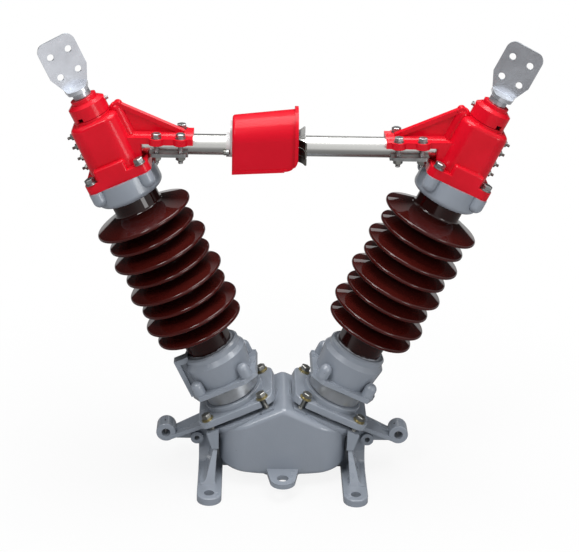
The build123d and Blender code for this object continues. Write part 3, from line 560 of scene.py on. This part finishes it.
def studSpots(side, inward):
    # a row of studs up the outer side of a head, which tapers
    taper = math.tan(math.radians(headStudPlace["taper"]))
    return [(onColumn(side, (station - headStudPlace["foot"]) * taper - headStudPlace["out"], 0, station),
             -inward, headStudPlace["turns"] * station) for station in headStudPlace["stations"]]


for side, body in (("left", "left_column"), ("right", "right_column")):
    inward = onColumn(side, 1, 0, 0) - onColumn(side, 0, 0, 0)
    away = math.radians(capScrewPlace["angle"])
    aim = inward * math.cos(away) + Vector((0, math.sin(away), 0))
    capSpot = onColumn(side, 0, 0, capScrewPlace["station"]) + aim * capScrewPlace["out"]
    for name, points, sizes, look, carrier in (
            ("CoverBolts", squareSpots(side, coverBoltPlace), coverBolt, coverLook, "base"),
            ("HeadBolts", squareSpots(side, headBoltPlace), headBolt, zincOnly, body),
            ("ClampBolts", clampSpots(side, clampPlace["top"], up, clampPlace["boltTurns"]), clampBolt, zincOnly,
             body),
            ("ClampNuts", clampSpots(side, clampPlace["bottom"], -up, clampPlace["nutTurns"]), clampNut, dullNut,
             body),
            ("HeadStuds", studSpots(side, inward), headStud, dullNut, body),
            ("CapScrew", [(capSpot, aim, capScrewPlace["turn"])], capScrew, zincOnly, side + "_connector")):
        growOnPoints(side + name, fasteners, points, sizes, look, carrier)
print("fasteners placed")

# a small clamping ear with its screw at the front of the hood's bracket
bracketEar = {"at": (-0.1230, -0.0285, 0.7315), "radius": 0.0068, "thick": 0.004, "bevel": 0.0005,
              "segments": 40, "rimAngle": 60, "screwTurn": 0.3}
bracketScrew = {"Head Width": 0.009, "Head Height": 0.0045, "Washer Width": 0.0115, "Washer Height": 0.0012,
                "Spring Height": 0.0015, "Shank Width": 0.006, "Shank Below": 0.006, "Thread Pitch": 0.001}
ear = bmesh.new()
earPlace = Matrix.Translation(bracketEar["at"]) @ Matrix.Rotation(math.radians(90), 4, "Y")
bmesh.ops.create_cone(ear, cap_ends=True, segments=bracketEar["segments"], radius1=bracketEar["radius"],
                      radius2=bracketEar["radius"], depth=bracketEar["thick"], matrix=earPlace)
rimAngle = math.radians(bracketEar["rimAngle"])
rims = [edge for edge in ear.edges if len(edge.link_faces) == 2 and edge.calc_face_angle() > rimAngle]
bmesh.ops.bevel(ear, geom=rims, offset=bracketEar["bevel"], segments=2, affect="EDGES")
keepPiece("bracketEar", ear, "brightZinc", "left_column")
growOnPoints("bracketScrew", fasteners,
             [(Vector(bracketEar["at"]) - Vector((bracketEar["thick"] / 2, 0, 0)), Vector((-1, 0, 0)),
               bracketEar["screwTurn"])],
             bracketScrew, dullNut, "left_column")

# grease holes on top of the rod barrels: black discs, painted shade for the holes' insides
greaseHole = {"barrel": (0.252, -0.003, 0.088), "radius": 0.0210, "leans": {-1: -5.0, 1: -24.0},
              "width": 0.0019, "deep": 0.0006, "segments": 20}
pits = bmesh.new()
for sign, tilt in greaseHole["leans"].items():
    x, y, z = greaseHole["barrel"]
    place = (Matrix.Translation((sign * x, y, z)) @ Matrix.Rotation(math.radians(tilt), 4, "Y")
             @ Matrix.Translation((0, 0, greaseHole["radius"])))
    bmesh.ops.create_cone(pits, cap_ends=True, segments=greaseHole["segments"], radius1=greaseHole["width"],
                          radius2=greaseHole["width"], depth=greaseHole["deep"], matrix=place)
keepPiece("greaseHoles", pits, "blackPit", "base")


def turnedRing(side, profileAt, segments):
    # a closed profile turned about a column's axis; it may change on the way round
    ring = bmesh.new()
    place = columnMatrix(side)
    loops = []
    for k in range(segments):
        turn = 2 * math.pi * k / segments
        loops.append([ring.verts.new(place @ Vector((r * math.cos(turn), r * math.sin(turn), z)))
                      for r, z in profileAt(turn)])
    for first, second in zip(loops, loops[1:] + loops[:1]):
        for k in range(len(first)):
            after = (k + 1) % len(first)
            ring.faces.new((first[k], second[k], second[after], first[after]))
    return ring


# the mortar between porcelain and cup, brushed a little up the core; each wave is a count, a start and a height
mortar = {"core": 0.0496, "mouth": 0.0531, "rim": 0.3756, "smear": 0.0026, "deep": 0.0045, "inset": 0.0008,
          "skin": 0.0003, "lift": 0.0002, "mean": 0.5, "waves": ((5, 0.7, 0.22), (11, 0.0, 0.16), (23, 2.0, 0.12)),
          "segments": 120}


def mortarProfile(turn):
    ragged = mortar["mean"] + sum(height * math.sin(count * turn + start) for count, start, height in mortar["waves"])
    edge = mortar["rim"] + mortar["smear"] * max(ragged, 0.0)
    core, mouth = mortar["core"], mortar["mouth"]
    face, bottom = mortar["rim"] + mortar["lift"], mortar["rim"] - mortar["deep"]
    return ((core - mortar["inset"], edge), (core + mortar["skin"], edge), ((core + mouth) / 2, face),
            (mouth, face), (mouth, bottom), (core - mortar["inset"], bottom))


# the steel ring that the terminal's foot stands on
stemRing = {"radius": 0.0185, "bore": 0.010, "bottom": 0.9763, "top": 0.9890, "edge": 0.0008, "segments": 72}


def stemProfile(turn):
    # the same all the way round
    outer, edge = stemRing["radius"], stemRing["edge"]
    bottom, top = stemRing["bottom"], stemRing["top"]
    return ((stemRing["bore"], bottom), (outer - edge, bottom), (outer, bottom + edge), (outer, top - edge),
            (outer - edge, top), (stemRing["bore"], top))


for side in ("left", "right"):
    keepPiece(side + "Mortar", turnedRing(side, mortarProfile, mortar["segments"]), "cement",
              side + "_column")
for side in ("left", "right"):
    keepPiece(side + "StemRing", turnedRing(side, stemProfile, stemRing["segments"]), "satinShaft",
              side + "_connector")

# the web that closes the left lug towards its cup
lugWeb = {"outer": 0.0715, "inner": 0.0580, "front": 0.0235, "back": 0.0110, "bottom": 0.3005, "top": 0.3710,
          "bevel": 0.0012}
web = bmesh.new()
bmesh.ops.create_cube(web, size=1.0)
for corner in web.verts:
    inward = -lugWeb["outer"] if corner.co.x < 0 else -lugWeb["inner"]
    across = -lugWeb["front"] if corner.co.y < 0 else -lugWeb["back"]
    corner.co = onColumn("left", inward, across, lugWeb["bottom"] if corner.co.z < 0 else lugWeb["top"])
bmesh.ops.bevel(web, geom=list(web.edges), offset=lugWeb["bevel"], segments=2, affect="EDGES")
keepPiece("lugWeb", web, "greyPaint", "left_column")
print("small pieces placed")


# how finely the porcelain's profile is rounded, and within what distance its seam is sewn
shedForm = {"roundingSteps": 7, "spacing": 0.001, "seam": 0.00002}


def makeShedTree():
    # the porcelain: a core with sheds of two widths in turn, one profile turned about the axis
    sizes = ("Pitch", "First Shed", "Wide Radius", "Narrow Radius", "Core Radius", "Top Slope", "Under Slope",
             "Rim", "Rim Corner", "Root Corner", "Core Top", "Core Bottom")
    tree, start, end = newGroup(
        "shedColumn", {"Geometry": ("Geometry",), "Int": ("Sheds", "Columns"), "Float": sizes,
                       "Material": ("Material",)}, {"Geometry": ("Geometry",)}, "GeometryNodeTree")
    value = start.outputs

    def calc(operation, first, second=0.0):
        return mathNode(tree, operation, first, second)

    def whole(number):
        return addNode(tree, "FunctionNodeFloatToInt", None, {0: number}).outputs[0]

    def pick(index, choices):
        # one of several numbers by index
        node = addNode(tree, "GeometryNodeIndexSwitch", {"data_type": "FLOAT"})
        while len(node.index_switch_items) < len(choices):
            node.index_switch_items.new()
        tree.links.new(index, node.inputs["Index"])
        for place, choice in enumerate(choices):
            feed(tree, node.inputs[place + 1], choice)
        return node.outputs[0]

    # profile points: two at each end of the core, and four on every shed between them
    index = addNode(tree, "GeometryNodeInputIndex").outputs[0]
    onSheds = calc("SUBTRACT", index, 2.0)
    shed = calc("FLOOR", calc("DIVIDE", calc("ADD", onSheds, 0.5), 4.0))
    corner = calc("SUBTRACT", onSheds, calc("MULTIPLY", shed, 4.0))
    corner = calc("MINIMUM", calc("MAXIMUM", corner, 0.0), 3.0)
    odd = calc("MODULO", calc("ADD", shed, 2.0), 2.0)
    radius = calc("ADD", calc("MULTIPLY", odd, value["Narrow Radius"]),
                  calc("MULTIPLY", calc("SUBTRACT", 1.0, odd), value["Wide Radius"]))
    reach = calc("SUBTRACT", radius, value["Core Radius"])
    half = calc("MULTIPLY", value["Rim"], 0.5)
    station = calc("SUBTRACT", value["First Shed"], calc("MULTIPLY", shed, value["Pitch"]))
    across = pick(corner, [value["Core Radius"], radius, radius, value["Core Radius"]])
    along = calc("ADD", station, pick(corner, [
        calc("ADD", half, calc("MULTIPLY", reach, value["Top Slope"])), half, calc("MULTIPLY", half, -1.0),
        calc("SUBTRACT", calc("MULTIPLY", reach, value["Under Slope"]), half)]))
    rounding = pick(corner, [value["Root Corner"], value["Rim Corner"], value["Rim Corner"], value["Root Corner"]])
    last = calc("ADD", calc("MULTIPLY", value["Sheds"], 4.0), 3.0)
    # 0 and 1 are the top end, last - 1 and last the bottom end
    fromEnd = calc("SUBTRACT", last, index)
    atTop = calc("LESS_THAN", index, 1.5)
    atBottom = calc("LESS_THAN", fromEnd, 1.5)
    onAxis = calc("ADD", calc("LESS_THAN", index, 0.5), calc("LESS_THAN", fromEnd, 0.5))
    atEnd = calc("ADD", atTop, atBottom)
    across = pick(atEnd, [across, value["Core Radius"]])
    across = pick(onAxis, [across, 0.0])
    along = pick(atTop, [along, value["Core Top"]])
    along = pick(atBottom, [along, value["Core Bottom"]])
    rounding = pick(atEnd, [rounding, 0.0])
    line = addNode(tree, "GeometryNodeMeshLine", None,
                   {"Count": whole(calc("ADD", last, 1.0)), "Offset": (shedForm["spacing"], 0.0, 0.0)})
    spot = addNode(tree, "ShaderNodeCombineXYZ", None, {0: across, 1: 0.0, 2: along}).outputs[0]
    bent = addNode(tree, "GeometryNodeSetPosition", None, {"Geometry": line.outputs[0], "Position": spot})
    kept = addNode(tree, "GeometryNodeStoreNamedAttribute", {"data_type": "FLOAT", "domain": "POINT"},
                   {"Geometry": bent.outputs[0], "Name": "rounding", "Value": rounding})
    curve = addNode(tree, "GeometryNodeMeshToCurve", None, {0: kept.outputs[0]})
    rounded = addNode(tree, "GeometryNodeInputNamedAttribute", {"data_type": "FLOAT"}, {"Name": "rounding"})
    fillet = addNode(tree, "GeometryNodeFilletCurve", {"mode": "POLY"},
                     {"Curve": curve.outputs[0], "Count": shedForm["roundingSteps"],
                      "Radius": rounded.outputs[0], "Limit Radius": True})
    profile = addNode(tree, "GeometryNodeCurveToPoints", {"mode": "EVALUATED"}, {"Curve": fillet.outputs[0]})
    # the profile's points become the rows of a sheet that is rolled up and sewn
    rows = addNode(tree, "GeometryNodeAttributeDomainSize", {"component": "POINTCLOUD"},
                   {0: profile.outputs[0]}).outputs["Point Count"]
    sheet = addNode(tree, "GeometryNodeMeshGrid", None,
                    {"Vertices X": whole(calc("ADD", value["Columns"], 1.0)), "Vertices Y": rows})
    row = calc("MODULO", index, rows)
    column = calc("FLOOR", calc("DIVIDE", calc("ADD", index, 0.5), rows))
    place = addNode(tree, "GeometryNodeInputPosition").outputs[0]
    taken = addNode(tree, "GeometryNodeSampleIndex", {"data_type": "FLOAT_VECTOR", "domain": "POINT"},
                    {"Geometry": profile.outputs[0], "Value": place, "Index": whole(row)})
    split = addNode(tree, "ShaderNodeSeparateXYZ", None, {0: taken.outputs[0]})
    angle = calc("MULTIPLY", calc("DIVIDE", column, value["Columns"]), 2 * math.pi)
    rolled = addNode(tree, "ShaderNodeCombineXYZ", None,
                     {0: calc("MULTIPLY", split.outputs["X"], calc("COSINE", angle)),
                      1: calc("MULTIPLY", split.outputs["X"], calc("SINE", angle)),
                      2: split.outputs["Z"]}).outputs[0]
    tube = addNode(tree, "GeometryNodeSetPosition", None, {"Geometry": sheet.outputs["Mesh"], "Position": rolled})
    sewn = addNode(tree, "GeometryNodeMergeByDistance", None,
                   {"Geometry": tube.outputs[0], "Distance": shedForm["seam"]})
    real = addNode(tree, "GeometryNodeRealizeInstances", None, {0: sewn.outputs[0]})
    glazed = addNode(tree, "GeometryNodeSetMaterial", None,
                     {"Geometry": real.outputs[0], "Material": value["Material"]})
    tree.links.new(glazed.outputs[0], end.inputs[0])
    return tree


porcelain = {"Sheds": 8, "Columns": 144, "Pitch": 0.03835, "First Shed": 0.697, "Wide Radius": 0.103,
             "Narrow Radius": 0.0946, "Core Radius": 0.0495, "Top Slope": math.tan(math.radians(21.0)),
             "Under Slope": math.tan(math.radians(8.0)), "Rim": 0.008, "Rim Corner": 0.0039, "Root Corner": 0.007,
             "Core Top": 0.786, "Core Bottom": 0.3298}
porcelainSharp = 40.0  # degrees
shedTree = makeShedTree()
for side in ("left", "right"):
    holder = bpy.data.objects.new("shedHolder", bpy.data.meshes.new("shedSeed"))
    bpy.context.scene.collection.objects.link(holder)
    mesh = runTree(holder, shedTree, {**porcelain, "Material": finishes["brownGlaze"]})
    shape = bmesh.new()
    shape.from_mesh(mesh)
    bmesh.ops.recalc_face_normals(shape, faces=shape.faces)
    shape.transform(columnMatrix(side))
    shape.to_mesh(mesh)
    shape.free()
    piece = addPiece(side + "_insulator_finished", mesh, porcelainSharp)
    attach(piece, side + "_column")
    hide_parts(side + "_insulator")
    print(side, "porcelain:", len(mesh.polygons), "faces")


def rayKinds(tree, camera, glossy, transmission):
    # one number by the kind of ray that sees the surface
    rays = tree.nodes.new("ShaderNodeLightPath")
    total = mathNode(tree, "MULTIPLY", rays.outputs["Is Camera Ray"], camera)
    total = mathNode(tree, "ADD", total, mathNode(tree, "MULTIPLY", rays.outputs["Is Glossy Ray"], glossy))
    return mathNode(tree, "ADD", total, mathNode(tree, "MULTIPLY", rays.outputs["Is Transmission Ray"], transmission))


def makeFloor(name, look):
    # white to the camera, with a share of the real light so that the shadow stays
    material = bpy.data.materials.new(name)
    material.use_nodes = True
    tree = material.node_tree
    tree.nodes.clear()
    out = tree.nodes.new("ShaderNodeOutputMaterial")
    matte = addNode(tree, "ShaderNodeBsdfDiffuse", None, {"Color": (*look["colour"], 1)})
    glow = addNode(tree, "ShaderNodeEmission", None, {"Color": (1, 1, 1, 1)})
    place = addNode(tree, "ShaderNodeTexCoord").outputs["Object"]
    apart = addNode(tree, "ShaderNodeVectorMath", {"operation": "LENGTH"}, {0: place}).outputs["Value"]
    mirrored = fade(tree, apart, look["near"], look["horizon"], look["reflected"], look["reflectedFar"])
    tree.links.new(rayKinds(tree, 1.0, mirrored, 1.0), glow.inputs["Strength"])
    plain = fade(tree, apart, look["near"], look["far"], 1.0 - look["shadow"], 1.0)
    share = rayKinds(tree, plain, 1.0, 1.0)
    mix = addNode(tree, "ShaderNodeMixShader", None, {0: share, 1: matte.outputs[0], 2: glow.outputs[0]})
    tree.links.new(mix.outputs[0], out.inputs[0])
    return material


paleFloor = {"size": 8.0, "colour": (0.62, 0.62, 0.62), "reflected": 0.20, "reflectedFar": 0.66, "shadow": 0.12,
             "near": 0.35, "far": 1.1, "horizon": 4.0}
reach = paleFloor["size"]
floorMesh = bpy.data.meshes.new("floor")
floorMesh.from_pydata([(-reach, -reach, 0), (reach, -reach, 0), (reach, reach, 0), (-reach, reach, 0)], [],
                      [(0, 1, 2, 3)])
floorMesh.materials.append(makeFloor("paleFloor", paleFloor))
floor = bpy.data.objects.new("floor", floorMesh)
bpy.context.scene.collection.objects.link(floor)

# the room: white to the camera, softly lit from above, and in reflections brighter to the right and above;
# each fade runs between two parts of the direction's X, Y or Z
room = {"above": 0.55, "level": 0.20, "glossLeft": 0.07, "glossRight": 0.80, "glossBehind": 0.035, "glossAbove": 0.90,
        "sideFade": (-0.50, 0.15), "behindFade": (-0.10, 0.45), "aboveFade": (0.45, 0.85)}
world = bpy.data.worlds.new("studio")
bpy.context.scene.world = world
world.use_nodes = True
worldTree = world.node_tree
background = worldTree.nodes["Background"]
toward = addNode(worldTree, "ShaderNodeTexCoord").outputs["Generated"]
toward = addNode(worldTree, "ShaderNodeSeparateXYZ", None, {0: toward})
rise = mathNode(worldTree, "MAXIMUM", toward.outputs["Z"], 0.0)
soft = blend(worldTree, rise, room["level"], room["above"])
sideways = fade(worldTree, toward.outputs["X"], *room["sideFade"], room["glossLeft"], room["glossRight"])
behind = fade(worldTree, toward.outputs["Y"], *room["behindFade"], 0.0, 1.0)
shine = blend(worldTree, behind, sideways, room["glossBehind"])
overhead = fade(worldTree, toward.outputs["Z"], *room["aboveFade"], 0.0, 1.0)
shine = blend(worldTree, overhead, shine, room["glossAbove"])
rays = worldTree.nodes.new("ShaderNodeLightPath")
white = mathNode(worldTree, "MAXIMUM", rays.outputs["Is Camera Ray"], rays.outputs["Is Transmission Ray"])
level = blend(worldTree, rays.outputs["Is Glossy Ray"], soft, shine)
level = blend(worldTree, white, level, 1.0)
background.inputs["Color"].default_value = (1, 1, 1, 1)
worldTree.links.new(level, background.inputs["Strength"])

# lamps in watts, with sizes in metres; the window is only there to be mirrored by the glaze
lamps = {
    "key": {"at": (-1.5, -1.9, 2.9), "aim": (0, 0, 0.45), "size": 0.9, "power": 40},
    "fill": {"at": (2.0, -2.3, 0.8), "aim": (0, 0, 0.05), "size": 1.0, "power": 19},
    "top": {"at": (0.3, 0.0, 2.9), "aim": (0, 0, 0.5), "size": 2.0, "power": 84},
    "window": {"at": (0.35, 3.0, 1.7), "aim": (0, 0, 0.6), "size": 0.45, "power": 0.8},
}
for name, lamp in lamps.items():
    light = bpy.data.lights.new(name, "AREA")
    light.size = lamp["size"]
    light.energy = lamp["power"]
    holder = bpy.data.objects.new(name, light)
    holder.location = lamp["at"]
    holder.rotation_euler = (Vector(lamp["aim"]) - Vector(lamp["at"])).to_track_quat("-Z", "Y").to_euler()
    bpy.context.scene.collection.objects.link(holder)

camera = {"at": (-0.082, -3.058, 1.790), "down": 23.62, "right": 1.67, "roll": 1.48, "lens": 99.42,
          "sensor": 36, "clip": 100}
down, right, roll = (math.radians(camera[key]) for key in ("down", "right", "roll"))
ahead = Vector((math.sin(right) * math.cos(down), math.cos(right) * math.cos(down), -math.sin(down)))
flat = ahead.cross(up).normalized()
upright = flat.cross(ahead)
across = flat * math.cos(roll) + upright * math.sin(roll)
upward = -flat * math.sin(roll) + upright * math.cos(roll)
lens = bpy.data.cameras.new("camera")
lens.lens = camera["lens"]
lens.sensor_width = camera["sensor"]
lens.sensor_fit = "HORIZONTAL"
lens.clip_end = camera["clip"]
eye = bpy.data.objects.new("camera", lens)
turned = Matrix((across, upward, -ahead)).transposed().to_4x4()
eye.matrix_world = Matrix.Translation(camera["at"]) @ turned
bpy.context.scene.collection.objects.link(eye)
bpy.context.scene.camera = eye
bpy.context.scene.view_settings.view_transform = "Standard"
print("studio ready")
